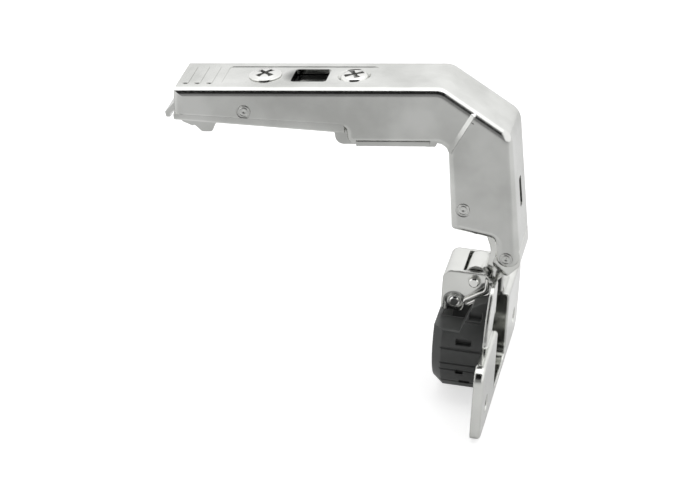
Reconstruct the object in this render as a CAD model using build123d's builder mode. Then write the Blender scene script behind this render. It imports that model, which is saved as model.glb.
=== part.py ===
from build123d import *
import os
from math import asin, atan2, cos, degrees, radians, sin

# Concealed cabinet hinge with a cranked arm, shown fully open. Sizes are in millimetres.
# The frame is that of the cup's flange: +X leaves the door, Y runs along the pins, +Z runs up the door,
# and the origin is midway between the two screw holes on the flange's front face.

# Cup and flange
cup_radius = 17.5
cup_depth = 15.0
cup_centre_up = 9.5
screw_hole_spacing = 45.0
screw_hole_radius = 2.1
flange_sheet = 1.1
flange_depth = 2.4
flange_rim_radius = 18.9
flange_top = 15.4
flange_recess = 1.4
flange_bend_radius = 0.9
ear_reach = 31.0
ear_top = 3.2
ear_bottom = 16.2
ear_corner_radius = 3.5
mouth_half_width = 9.6
mouth_bottom = 13.9
mouth_top = 4.0
mouth_corner_radius = 3.7
skirt_sheet = 0.5
skirt_depth = 6.5
skirt_top = 3.0

# Link box, folded up from the flange
box_width = 12.5
box_sheet = 1.0
box_top = 16.1
box_depth = 14.7
box_corner_radius = 2.2
box_front_step = 3.4
box_heel = 5.2
pivot_arch_radius = 2.3
pivot_arch_depth = 0.55
pivot_collar_radius = 1.75

# Pivots in the cup, measured inwards from the front face and upwards from the cup's centre
link_pin_depth = 7.0
link_pin_up = 14.0
deep_pin_depth = 11.5
deep_pin_up = 7.9
link_pin_radius = 1.25
link_pin_stand_out = 1.3
deep_pin_stand_out = 0.3
pin_end_chamfer = 0.3

# Fits
running_gap = 0.06
side_gap = 0.35
press_gap = 0.0
clearance = 0.3

# Arm, in its own lengths: along the deck from the tail, and down from the deck
open_angle = 7.5
arm_width = 17.5
arm_sheet = 1.3
arm_bend_radius = 2.0
web_along = 80.0
shoulder_run = 15.7
shoulder_drop = 12.0
shoulder_radius = 4.5
tail_depth = 8.05
flange_step_along = 40.6
flange_step_depth = 10.6
middle_depth = 14.3
throat_inset = 15.3
throat_radius = 2.6
heel_depth = 36.3
heel_inset = 16.0
tip_side_inset = 5.7
tip_shelf_depth = 38.9
tip_radius = 2.7
tip_out = 0.4
tip_up = 22.2
tip_inset = 3.07
tip_down = 43.72
mid_inset = 12.52
mid_down = 30.83
tail_rivet_along = 16.54
tail_rivet_down = 5.78
rivet_radius = 1.5
rivet_head_radius = 1.8
rivet_head_height = 0.4
rivet_head_sink = 0.25

# Deck details
panel_start = 10.7
panel_end = 47.0
panel_half_width = 5.15
panel_depth = 0.3
panel_corner_radius = 1.0
rib_starts = (1.2, 4.1, 7.0)
rib_length = 1.5
rib_half_width = 5.2
rib_height = 0.25
window_start = 27.2
window_end = 35.8
window_half_width = 3.74
window_corner_radius = 0.8
web_end_gap = 1.6
web_slot_top = 26.0
web_slot_bottom = 33.5
web_slot_width = 3.0
crease_width = 1.0
crease_run = 5.6
crease_rise = 7.6
crease_start_drop = 1.7
crease_height = 0.25

# Adjusting screws
side_screw_along = 20.4
side_screw_radius = 2.5
side_screw_head_radius = 4.0
side_screw_head_height = 0.6
side_screw_dome_radius = 3.3
side_screw_dome_height = 0.8
collar_radius = 3.3
collar_height = 0.8
cam_along = 42.0
cam_head_radius = 3.4
cam_dish_radius = 4.3
cam_dish_depth = 0.8
cam_head_proud = 0.35
cam_plate_radius = 4.6
cam_plate_height = 1.2
cross_recess_width = 1.1
cross_recess_length = 4.6
cross_recess_depth = 1.0

# Carriage inside the arm
carriage_sheet = 1.2
carriage_gap = 0.25
carriage_start = 5.0
carriage_end_gap = 2.8
carriage_depth = 7.9
carriage_hook_lead = 2.7
carriage_hook_depth = 14.6
carriage_foot_depth = 15.2
carriage_foot_length = 2.5
carriage_travel = 2.0

# Clip lever at the tail, measured from its pin: along the arm and down
lever_sheet = 1.2
lever_half_width = 5.6
lever_pin_along = 10.2
lever_pin_down = 5.2
lever_pin_radius = 1.1
lever_nose = 2.0
lever_heel_drop = 1.7
lever_crown = 1.2
lever_bridge_back = 10.0
lever_bridge_rise = 0.9
lever_bridge_drop = 4.4
hook_back = 1.8
hook_drop = 5.1
hook_tip_back = 2.8
hook_tip_drop = 7.1
hook_throat_back = 7.2
tab_back = 13.9
tab_drop = 2.0
tab_lip_drop = 3.3
spring_wire_radius = 0.35
spring_turns = 3
spring_coil_radius = 1.75

# Links
outer_link_sheet = 1.1
outer_link_tip_boss = 2.1
outer_link_deep_boss = 1.9
outer_link_tip_half = 7.1
outer_link_taper_start = 13.5
outer_link_taper_length = 1.6
inner_link_half_width = 3.4
inner_link_thickness = 2.2
inner_link_eye_radius = 3.0
inner_link_eye_half_width = 4.4
inner_link_top_radius = 2.5

# Nylon housing and damper
housing_radius = 16.3
housing_wall = 1.2
housing_gap = 0.05
housing_bevel = 1.9
housing_bevel_width = 2.4
shelf_up = 4.9
shelf_back = 8.5
shoulder_up = 11.9
shoulder_mid_depth = 6.2
shoulder_mid_up = 10.2
groove_angles = (26.0, 1.0, -14.0, -21.5, -40.0)
groove_radius = 0.3
# pockets in the sides: depth, height above the centre, length and height
side_pockets = ((7.3, 2.3, 3.8, 1.7), (8.0, -6.5, 1.9, 1.3), (6.9, -10.3, 2.7, 1.2), (5.2, 8.5, 3.2, 1.9))
pocket_depth = 1.2
pocket_corner_radius = 0.3
damper_side = 12.5
damper_depth = 5.2
damper_radius = 1.6
damper_bottom = 6.0
damper_top = 1.0
damper_rod_radius = 0.8
damper_rod_length = 5.0
damper_stroke = 2.5
closing_wire_radius = 0.4
closing_spring_gap = 0.06

# Worked out from the sizes above
arm_half = arm_width / 2
arm_inner_half = arm_half - arm_sheet
box_half = box_width / 2
box_inner_half = box_half - box_sheet
outer_link_half = box_inner_half - side_gap
outer_link_inner_half = outer_link_half - outer_link_sheet
deck_length = web_along - shoulder_run
tip_along = web_along - tip_inset
mid_along = web_along - mid_inset
throat_along = web_along - throat_inset
carriage_end = throat_along - carriage_end_gap
carriage_foot_start = carriage_end - carriage_foot_length
carriage_hook_start = flange_step_along - carriage_hook_lead
carriage_half = arm_inner_half - carriage_gap
carriage_inner_half = carriage_half - carriage_sheet
carriage_top = arm_sheet + carriage_gap
carriage_under = carriage_top + carriage_sheet
pin_bore = link_pin_radius + running_gap
rivet_bore = rivet_radius + running_gap
arm_direction = Vector(cos(radians(open_angle)), 0, sin(radians(open_angle)))
arm_up = Vector(-sin(radians(open_angle)), 0, cos(radians(open_angle)))
tip_pivot = Vector(tip_out, 0, cup_centre_up + tip_up)
arm_origin = tip_pivot - arm_direction * tip_along + arm_up * tip_down


def arm_side(across=0.0):
    # side view of the arm: x along the deck, y up, looking along +Y
    return Plane(origin=arm_origin + Vector(0, across, 0), x_dir=arm_direction, z_dir=(0, -1, 0))


def arm_deck(height=0.0):
    # view onto the deck: x along the deck, y across
    return Plane(origin=arm_origin + arm_up * height, x_dir=arm_direction, z_dir=arm_up)


def arm_web(inset=0.0):
    # view onto the web from outside: x across, y up
    origin = arm_origin + arm_direction * (web_along - inset)
    return Plane(origin=origin, x_dir=(0, 1, 0), z_dir=arm_direction)


def cup_side(across=0.0):
    # side view of the cup: x out of the door, y up from the cup's centre
    return Plane(origin=(0, across, cup_centre_up), x_dir=(1, 0, 0), z_dir=(0, -1, 0))


def cup_front(depth=0.0):
    # front view of the cup: x across, y up from the cup's centre
    return Plane(origin=(-depth, 0, cup_centre_up), x_dir=(0, 1, 0), z_dir=(1, 0, 0))


def inner_corner(x, y, turn_in, turn_out, inset):
    # the point inside an outer bend, one sheet in from both runs
    middle = radians((turn_in + turn_out) / 2)
    reach = inset / cos(radians((turn_out - turn_in) / 2))
    return (x - reach * sin(middle), y - reach * cos(middle))


def near(pivot, x, y):
    # a point given by its offsets from a pivot
    return (pivot[0] + x, pivot[1] + y)


shoulder_angle = degrees(atan2(shoulder_drop, web_along - deck_length))
shoulder_in = inner_corner(deck_length, 0, 0, shoulder_angle, arm_sheet)
shoulder_out = inner_corner(web_along, -shoulder_drop, shoulder_angle, 90, arm_sheet)
link_pin = (-link_pin_depth, link_pin_up)
deep_pin = (-deep_pin_depth, deep_pin_up)
tip_pin = (tip_out, tip_up)
mid_pin_world = arm_origin + arm_direction * mid_along - arm_up * mid_down
mid_pin = (mid_pin_world.X, mid_pin_world.Z - cup_centre_up)
tip_end_depth = tip_down + tip_radius
web_end_depth = tip_down - web_end_gap
lever_pin_place = (lever_pin_along, -lever_pin_down)


def mouth_outline(half_width, bottom, top):
    # the mouth's lower part, closed across the top
    with BuildLine() as outline:
        FilletPolyline(
            (-half_width, top), (-half_width, -bottom), (half_width, -bottom), (half_width, top),
            radius=[0, mouth_corner_radius, mouth_corner_radius, 0], close=True)
    return outline.line


# Steel cup: raised band with the ears, round part behind it, drawn mouth, and the link box folded up
with BuildPart() as cup_flange:
    with BuildSketch(cup_front(flange_depth)) as band_outline:
        with Locations((0, (ear_top - ear_bottom) / 2)):
            RectangleRounded(2 * ear_reach, ear_top + ear_bottom, ear_corner_radius)
    extrude(amount=flange_depth)
    fillet(cup_flange.faces().sort_by(Axis.X)[-1].edges(), flange_bend_radius)
    with BuildSketch(cup_front(flange_depth)):
        add(band_outline.sketch_local)
        offset(amount=-flange_sheet, kind=Kind.INTERSECTION)
    extrude(amount=flange_depth - flange_sheet, mode=Mode.SUBTRACT)
    with BuildSketch(cup_front(flange_depth)):
        Circle(flange_rim_radius)
        with Locations((0, flange_top + flange_rim_radius), (0, ear_top - flange_sheet - flange_rim_radius)):
            Rectangle(4 * flange_rim_radius, 2 * flange_rim_radius, mode=Mode.SUBTRACT)
    extrude(amount=flange_depth - flange_recess)
    with BuildSketch(cup_front(skirt_depth)):
        add(mouth_outline(mouth_half_width + skirt_sheet, mouth_bottom + skirt_sheet, skirt_top))
        make_face()
    extrude(amount=skirt_depth - flange_sheet / 2)
    with BuildSketch(cup_front(skirt_depth)):
        with BuildLine():
            FilletPolyline(
                (-mouth_half_width, -mouth_bottom), (mouth_half_width, -mouth_bottom),
                (mouth_half_width, mouth_top), (box_half, mouth_top + mouth_half_width - box_half),
                (box_half, flange_top + 1), (-box_half, flange_top + 1),
                (-box_half, mouth_top + mouth_half_width - box_half), (-mouth_half_width, mouth_top),
                radius=[mouth_corner_radius, mouth_corner_radius, 1.5, 1.0, 0, 0, 1.0, 1.5], close=True)
        make_face()
    extrude(amount=skirt_depth + 1, mode=Mode.SUBTRACT)
    with BuildSketch(cup_front(flange_depth)):
        with Locations((-screw_hole_spacing / 2, -cup_centre_up), (screw_hole_spacing / 2, -cup_centre_up)):
            Circle(screw_hole_radius)
    extrude(amount=flange_depth + 1, mode=Mode.SUBTRACT)
    with BuildSketch(cup_side(box_half)) as box_outline:
        with BuildLine():
            FilletPolyline(
                (-flange_recess, box_top - 2.0), (-box_front_step, box_top - 1.2), (-box_front_step - 1.0, box_top),
                (-box_depth, box_top), (-box_depth, box_heel), (-9.6, box_heel), (-8.9, 8.9),
                (-4.0, 13.2), (-flange_depth, 11.0), (-flange_depth, mouth_top + 2.0),
                (-flange_recess, mouth_top + 2.0),
                radius=[0, 0.5, 0.6, box_corner_radius, 1.2, 1.2, 0.5, 0.8, 0.3, 0, 0], close=True)
        make_face()
    extrude(amount=box_width)
    with BuildSketch(cup_side(box_inner_half)):
        with BuildLine():
            FilletPolyline(
                (1, box_top - box_sheet), (-box_depth + box_sheet, box_top - box_sheet),
                (-box_depth + box_sheet, box_heel - 1), (1, box_heel - 1),
                radius=[0, box_corner_radius - box_sheet, 0, 0], close=True)
        make_face()
    extrude(amount=2 * box_inner_half, mode=Mode.SUBTRACT)
    with BuildSketch(cup_side(box_inner_half)):
        slot_back = -link_pin_depth - inner_link_eye_radius
        with BuildLine():
            Polyline((slot_back, box_top + 1), (slot_back, box_top - 3), (3, box_top - 3), (3, box_top + 1), close=True)
        make_face()
    extrude(amount=2 * box_inner_half, mode=Mode.SUBTRACT)
    # arched pockets pressed in round the deep pin, open at the walls' lower edge
    for side in (-1, 1):
        with BuildSketch(cup_side(side * (box_half - pivot_arch_depth))):
            with Locations(deep_pin):
                Circle(pivot_arch_radius)
            with Locations((deep_pin[0], (deep_pin[1] + box_heel - 1) / 2)):
                Rectangle(2 * pivot_arch_radius, deep_pin[1] - box_heel + 1)
            with Locations(deep_pin):
                Circle(pivot_collar_radius, mode=Mode.SUBTRACT)
        extrude(amount=-side * 2, mode=Mode.SUBTRACT)
    with BuildSketch(cup_side(box_half + 1)):
        with Locations(link_pin, deep_pin):
            Circle(link_pin_radius + press_gap)
    extrude(amount=box_width + 2, mode=Mode.SUBTRACT)

# Pins through the link box
with BuildPart() as link_pin_part:
    with BuildSketch(cup_side(box_half + link_pin_stand_out)):
        with Locations(link_pin):
            Circle(link_pin_radius)
    extrude(amount=box_width + 2 * link_pin_stand_out)
    chamfer(link_pin_part.edges().filter_by(GeomType.CIRCLE), pin_end_chamfer)

with BuildPart() as deep_pin_part:
    with BuildSketch(cup_side(box_half + deep_pin_stand_out)):
        with Locations(deep_pin):
            Circle(link_pin_radius)
    extrude(amount=box_width + 2 * deep_pin_stand_out)
    chamfer(deep_pin_part.edges().filter_by(GeomType.CIRCLE), pin_end_chamfer)

# Nylon housing behind the flange
with BuildPart() as nylon_housing:
    with BuildSketch(cup_side()):
        with BuildLine():
            Polyline((-flange_depth, 0), (-flange_depth, housing_radius),
                     (housing_bevel_width - cup_depth, housing_radius),
                     (-cup_depth, housing_radius - housing_bevel), (-cup_depth, 0), close=True)
        make_face()
    revolve(axis=Axis((0, 0, cup_centre_up), (1, 0, 0)))
    # level shelf at the back and steep shoulders beside the link box
    with BuildSketch(cup_side(housing_radius)):
        with BuildLine():
            Polyline((0, shoulder_up + 0.6), (-flange_depth, shoulder_up), (-shoulder_mid_depth, shoulder_mid_up),
                     (-shelf_back, shelf_up), (-cup_depth - 1, shelf_up), (-cup_depth - 1, cup_radius),
                     (0, cup_radius), close=True)
        make_face()
    extrude(amount=2 * housing_radius, mode=Mode.SUBTRACT)
    shelf_rim = nylon_housing.edges().filter_by(lambda e: e.geom_type == GeomType.LINE).filter_by(
        lambda e: abs((e @ 0.5).Z - cup_centre_up - shelf_up) < 0.01 and abs((e @ 0.5).Y) > box_half)
    fillet(shelf_rim.filter_by(lambda e: (e @ 0.5).X < -shelf_back - 1), 0.8)
    # grooves between the side panels, and the pockets on both sides
    with BuildSketch(cup_front(cup_depth)):
        for angle in groove_angles:
            for side in (-1, 1):
                with Locations((side * housing_radius * cos(radians(angle)), housing_radius * sin(radians(angle)))):
                    Circle(groove_radius)
    extrude(amount=cup_depth - flange_depth, mode=Mode.SUBTRACT)
    for side in (-1, 1):
        for depth, up, length, height in side_pockets:
            surface = housing_radius * cos(asin(up / housing_radius))
            with BuildSketch(cup_side(side * (surface - pocket_depth))):
                with Locations((-depth, up)):
                    RectangleRounded(length, height, pocket_corner_radius)
            extrude(amount=-side * 3 * pocket_depth, mode=Mode.SUBTRACT)
    # room for the drawn mouth, the arm's nose and the links
    with BuildSketch(cup_front(cup_depth - housing_wall)):
        with BuildLine():
            FilletPolyline(
                (-mouth_half_width, -mouth_bottom), (mouth_half_width, -mouth_bottom),
                (mouth_half_width, mouth_top), (box_half + clearance, mouth_top + 2),
                (box_half + clearance, cup_radius + 2), (-box_half - clearance, cup_radius + 2),
                (-box_half - clearance, mouth_top + 2), (-mouth_half_width, mouth_top),
                radius=[mouth_corner_radius, mouth_corner_radius, 1, 0.5, 0, 0, 0.5, 1], close=True)
        make_face()
    extrude(amount=cup_depth, mode=Mode.SUBTRACT)
    with BuildSketch(cup_front(skirt_depth + housing_gap)):
        skirt_room = skirt_sheet + housing_gap
        add(mouth_outline(mouth_half_width + skirt_room, mouth_bottom + skirt_room, skirt_top + housing_gap))
        make_face()
    extrude(amount=cup_depth, mode=Mode.SUBTRACT)
    spring_room = 2 * (closing_wire_radius + closing_spring_gap)
    with BuildSketch(cup_side(box_half + clearance + spring_room)):
        with BuildLine():
            Polyline((-cup_depth - 1, cup_radius), (-cup_depth - 1, box_heel - 0.2), (0, box_heel - 0.2),
                     (0, cup_radius), close=True)
        make_face()
    extrude(amount=box_width + 2 * (clearance + spring_room), mode=Mode.SUBTRACT)
    # bore of the damper and the channel of its rod
    with BuildSketch(Plane(origin=(-damper_depth, damper_side, cup_centre_up - damper_bottom), z_dir=(0, 0, 1))):
        Circle(damper_radius + running_gap)
    extrude(amount=2 * cup_radius, mode=Mode.SUBTRACT)

# Damper: cylinder in the housing's bore, with its sliding rod
with BuildPart() as damper_cylinder:
    with BuildSketch(Plane(origin=(-damper_depth, damper_side, cup_centre_up - damper_bottom), z_dir=(0, 0, 1))):
        Circle(damper_radius)
    extrude(amount=damper_bottom + damper_top)
    with BuildSketch(Plane(origin=(-damper_depth, damper_side, cup_centre_up + damper_top), z_dir=(0, 0, 1))):
        Circle(damper_rod_radius + running_gap)
    extrude(amount=-damper_stroke - 2.0, mode=Mode.SUBTRACT)

with BuildPart() as damper_rod:
    rod_foot = cup_centre_up + damper_top - 1.5
    with BuildSketch(Plane(origin=(-damper_depth, damper_side, rod_foot), z_dir=(0, 0, 1))):
        Circle(damper_rod_radius)
    extrude(amount=damper_rod_length)
    chamfer(damper_rod.edges().filter_by(GeomType.CIRCLE).sort_by(Axis.Z)[-1], 0.3)


def closing_spring(side):
    # a hairpin of wire beside the link box, hooked over the end of the link pin
    across = side * (box_half + closing_wire_radius + closing_spring_gap)
    with BuildPart() as body:
        with BuildLine(cup_side(across)) as hairpin:
            FilletPolyline(
                near(link_pin, 3.0, 1.3), near(link_pin, 3.1, -1.9), near(deep_pin, 2.2, 0.7),
                near(deep_pin, 3.0, -0.2), near(link_pin, 4.1, -2.6), near(link_pin, 4.1, -0.2),
                radius=[1.6, 0.55, 0.55, 1.4])
        with BuildSketch(Plane(origin=hairpin.line @ 0, z_dir=hairpin.line % 0)):
            Circle(closing_wire_radius)
        sweep(path=hairpin.line)
    return body.part


closing_spring_near = closing_spring(-1)
closing_spring_far = closing_spring(1)

# Outer link: a folded channel, narrow in the link box and as wide as the arm's inside at the tip
def link_width_outline(deep_half, tip_half):
    # the link seen square to its length: half widths at the deep end and at the tip, joined by a taper
    taper_end = outer_link_taper_start + outer_link_taper_length
    with BuildLine() as outline:
        Polyline(
            (-deep_half, -link_length / 2), (deep_half, -link_length / 2), (deep_half, outer_link_taper_start),
            (tip_half, taper_end), (tip_half, 2 * link_length), (-tip_half, 2 * link_length),
            (-tip_half, taper_end), (-deep_half, outer_link_taper_start), close=True)
    return outline.line


link_run = Vector(tip_pin[0] - deep_pin[0], 0, tip_pin[1] - deep_pin[1])
link_length = link_run.length
link_face = Plane(
    origin=Vector(deep_pin[0], 0, cup_centre_up + deep_pin[1]), x_dir=(0, 1, 0), z_dir=Vector(0, 1, 0).cross(link_run))

with BuildPart() as outer_link_hollow:
    with BuildSketch(cup_side(outer_link_tip_half)):
        with BuildLine():
            Polyline(
                near(deep_pin, -3.0, 3.1), near(deep_pin, -3.0, -3.4), near(deep_pin, 3.2, -1.7),
                near(link_pin, 2.0, -3.8), near(link_pin, 3.6, -0.1), near(tip_pin, 2.2, -1.7),
                near(tip_pin, 1.75, 2.6), near(tip_pin, -5.4, 3.8), near(link_pin, 1.0, -2.0), close=True)
        make_face()
    extrude(amount=2 * outer_link_tip_half)
    with BuildSketch(link_face):
        add(link_width_outline(outer_link_inner_half, outer_link_tip_half - outer_link_sheet))
        make_face()
    extrude(amount=link_length, both=True, mode=Mode.INTERSECT)

with BuildPart() as outer_link:
    with BuildSketch(cup_side(outer_link_tip_half)):
        with BuildLine():
            FilletPolyline(
                near(tip_pin, -2.1, 0.6), near(tip_pin, -3.35, -2.0), near(link_pin, 3.95, -0.6),
                near(link_pin, 1.8, -3.1), near(deep_pin, 2.0, 1.7), near(deep_pin, 1.2, -1.4),
                near(deep_pin, 2.6, -0.7), near(link_pin, 3.0, -4.4), near(link_pin, 4.45, -0.7),
                near(tip_pin, 3.35, -2.1), near(tip_pin, 2.85, 1.3), near(tip_pin, 0, 1.3),
                radius=[0.5, 1.0, 0.8, 1.0, 0, 0, 0.5, 2.0, 2.0, 1.6, 0.3, 0], close=True)
        make_face()
        with Locations(tip_pin):
            Circle(outer_link_tip_boss)
        with Locations(deep_pin):
            Circle(outer_link_deep_boss)
    extrude(amount=2 * outer_link_tip_half)
    with BuildSketch(link_face):
        add(link_width_outline(outer_link_half, outer_link_tip_half))
        make_face()
    extrude(amount=link_length, both=True, mode=Mode.INTERSECT)
    add(outer_link_hollow.part, mode=Mode.SUBTRACT)
    with BuildSketch(cup_side(outer_link_tip_half)):
        with Locations(tip_pin):
            Circle(rivet_bore)
        with Locations(deep_pin):
            Circle(pin_bore)
    extrude(amount=2 * outer_link_tip_half, mode=Mode.SUBTRACT)

# Inner link: a gooseneck bar with an eye over the link pin, running up inside the arm
with BuildPart() as inner_link:
    with BuildSketch(cup_side(inner_link_half_width)):
        with BuildLine() as gooseneck:
            FilletPolyline(
                link_pin, near(link_pin, 3.4, 2.6), near(tip_pin, -3.15, -0.4), near(tip_pin, -5.3, 5.0), mid_pin,
                radius=[2.0, 6.0, 6.0])
        trace(line_width=inner_link_thickness)
        with Locations(mid_pin):
            Circle(inner_link_top_radius)
        with Locations(link_pin):
            Circle(inner_link_eye_radius)
    extrude(amount=2 * inner_link_half_width)
    with BuildSketch(cup_side(inner_link_eye_half_width)):
        with Locations(link_pin):
            Circle(inner_link_eye_radius)
    extrude(amount=2 * inner_link_eye_half_width)
    with BuildSketch(cup_side(inner_link_eye_half_width)):
        with Locations(link_pin):
            Circle(pin_bore)
        with Locations(mid_pin):
            Circle(rivet_bore)
    extrude(amount=2 * inner_link_eye_half_width, mode=Mode.SUBTRACT)

# Arm: one folded sheet, deck, shoulder and web with two cheeks
with BuildPart() as hinge_arm:
    with BuildSketch(arm_side(arm_half)):
        with BuildLine():
            FilletPolyline(
                (0, 0), (deck_length, 0), (web_along, -shoulder_drop), (web_along, -tip_end_depth),
                (tip_along - tip_radius, -tip_end_depth), (web_along - tip_side_inset, -tip_shelf_depth),
                (web_along - heel_inset, -heel_depth), (throat_along, -middle_depth), (flange_step_along, -middle_depth),
                (flange_step_along, -flange_step_depth), (0, -tail_depth),
                radius=[0, shoulder_radius, shoulder_radius, tip_radius, tip_radius - 0.1, 1.6, 0.9,
                        throat_radius, 1.6, 1.0, 0.5], close=True)
        make_face()
    extrude(amount=arm_width)
    roof = Wire.make_polygon([
        arm_side().from_local_coords((x, y, 0)) for x, y in
        [(0.5, 0), (deck_length, 0), (web_along, -shoulder_drop), (web_along, -tip_down)]], close=False)
    cheek_edges = hinge_arm.edges().filter_by(lambda e: abs(abs((e @ 0.5).Y) - arm_half) < 0.01)
    fold_edges = cheek_edges.filter_by(
        lambda e: roof.distance_to(Vector((e @ 0.5).X, 0, (e @ 0.5).Z)) < 1.0 and
        (arm_side().to_local_coords(e @ 0.5)).Y > -tip_down)
    fillet(fold_edges, arm_bend_radius)
    with BuildSketch(arm_side(arm_inner_half)):
        with BuildLine():
            Polyline((-1, -arm_sheet), shoulder_in, shoulder_out, (web_along - arm_sheet, -web_end_depth),
                     (web_along + 2, -web_end_depth), (web_along + 2, -tip_end_depth - 2),
                     (-1, -tip_end_depth - 2), close=True)
        make_face()
    extrude(amount=2 * arm_inner_half, mode=Mode.SUBTRACT)
    # sunk panel, window, screw holes and grip ribs on the deck
    with BuildSketch(arm_deck()):
        with Locations(((panel_start + panel_end) / 2, 0)):
            RectangleRounded(panel_end - panel_start, 2 * panel_half_width, panel_corner_radius)
    extrude(amount=-panel_depth, mode=Mode.SUBTRACT)
    with BuildSketch(arm_deck()):
        with Locations(((window_start + window_end) / 2, 0)):
            RectangleRounded(window_end - window_start, 2 * window_half_width, window_corner_radius)
        with Locations((side_screw_along, 0)):
            Circle(side_screw_radius + running_gap)
        with Locations((cam_along, 0)):
            Circle(cam_head_radius + running_gap)
    extrude(amount=-2 * arm_sheet, mode=Mode.SUBTRACT)
    with BuildSketch(arm_deck()):
        with Locations((cam_along, 0)):
            Circle(cam_dish_radius)
    extrude(amount=-cam_dish_depth, taper=45, mode=Mode.SUBTRACT)
    with BuildSketch(arm_deck()):
        for start in rib_starts:
            with Locations((start + rib_length / 2, 0)):
                RectangleRounded(rib_length, 2 * rib_half_width, rib_length / 3)
    extrude(amount=rib_height)
    # slot in the web, bores of the three rivets and the creases on the cheeks
    with BuildSketch(arm_web()):
        with Locations((0, -(web_slot_top + web_slot_bottom) / 2)):
            RectangleRounded(web_slot_width, web_slot_bottom - web_slot_top, 0.8)
    extrude(amount=-2 * arm_sheet, mode=Mode.SUBTRACT)
    throat = (throat_along, -middle_depth)
    rivet_places = [(tip_along, -tip_down), (mid_along, -mid_down), (tail_rivet_along, -tail_rivet_down)]
    with BuildSketch(arm_side(arm_half)):
        with Locations(*rivet_places):
            Circle(rivet_bore)
    extrude(amount=arm_width, mode=Mode.SUBTRACT)
    for side in (-1, 1):
        with BuildSketch(arm_side(side * (arm_half - rivet_head_sink))):
            with Locations(*rivet_places):
                Circle(rivet_head_radius + running_gap)
        extrude(amount=-side * 2, mode=Mode.SUBTRACT)
        with BuildSketch(arm_side(side * (arm_half - arm_sheet / 2))):
            with BuildLine():
                Line(near(throat, 0.7, -crease_start_drop), near(throat, crease_run + 0.7, crease_rise - crease_start_drop))
            trace(line_width=crease_width)
        extrude(amount=-side * (arm_sheet / 2 + crease_height))


def rivet(place, inner_end):
    # a headed rivet from each cheek; inner_end is how far from the middle its shank stops
    with BuildPart() as body:
        for side in (-1, 1):
            with BuildSketch(arm_side(side * inner_end)):
                with Locations(place):
                    Circle(rivet_radius)
            extrude(amount=-side * (arm_half - rivet_head_sink - inner_end))
            with BuildSketch(arm_side(side * (arm_half - rivet_head_sink))):
                with Locations(place):
                    Circle(rivet_head_radius)
            extrude(amount=-side * rivet_head_height)
    return body.part


tip_rivet = rivet(rivet_places[0], 0.0)
mid_rivets = rivet(rivet_places[1], inner_link_half_width + side_gap)
tail_rivet = rivet(rivet_places[2], 0.0)

# Side adjusting screw, with a collar under the carriage's deck
with BuildPart() as side_screw:
    collar_under = carriage_under + 0.2 + collar_height
    with BuildSketch(arm_deck(-collar_under)):
        with Locations((side_screw_along, 0)):
            Circle(collar_radius)
    extrude(amount=collar_height)
    with BuildSketch(arm_deck(-collar_under)):
        with Locations((side_screw_along, 0)):
            Circle(side_screw_radius)
    extrude(amount=collar_under)
    with BuildSketch(arm_deck(-panel_depth + 0.05)):
        with Locations((side_screw_along, 0)):
            Circle(side_screw_head_radius)
    extrude(amount=side_screw_head_height)
    chamfer(side_screw.edges().filter_by(GeomType.CIRCLE).sort_by(SortBy.RADIUS)[-2:], 0.15)
    head_top = side_screw_head_height - panel_depth + 0.05
    with BuildSketch(arm_deck(head_top)):
        with Locations((side_screw_along, 0)):
            Circle(side_screw_dome_radius)
    extrude(amount=side_screw_dome_height, taper=25)
    with BuildSketch(arm_deck(head_top + side_screw_dome_height)):
        with Locations((side_screw_along, 0)):
            Rectangle(cross_recess_length, cross_recess_width)
            Rectangle(cross_recess_width, cross_recess_length)
    extrude(amount=-cross_recess_depth, mode=Mode.SUBTRACT)

# Depth adjusting cam: its head fills the deck's hole, its plate lies under the carriage's deck
with BuildPart() as depth_cam:
    cam_under = carriage_under + 0.2 + cam_plate_height
    with BuildSketch(arm_deck(-cam_under)):
        with Locations((cam_along, 0)):
            Circle(cam_plate_radius)
    extrude(amount=cam_plate_height)
    with BuildSketch(arm_deck(-cam_under)):
        with Locations((cam_along, 0)):
            Circle(cam_head_radius)
    extrude(amount=cam_under + cam_head_proud)
    chamfer(depth_cam.faces().sort_by(Axis(arm_origin, arm_up))[-1].edges(), 0.5)
    with BuildSketch(arm_deck(cam_head_proud)):
        with Locations((cam_along, 0)):
            Rectangle(cross_recess_length, cross_recess_width)
            Rectangle(cross_recess_width, cross_recess_length)
    extrude(amount=-cross_recess_depth, mode=Mode.SUBTRACT)

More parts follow.
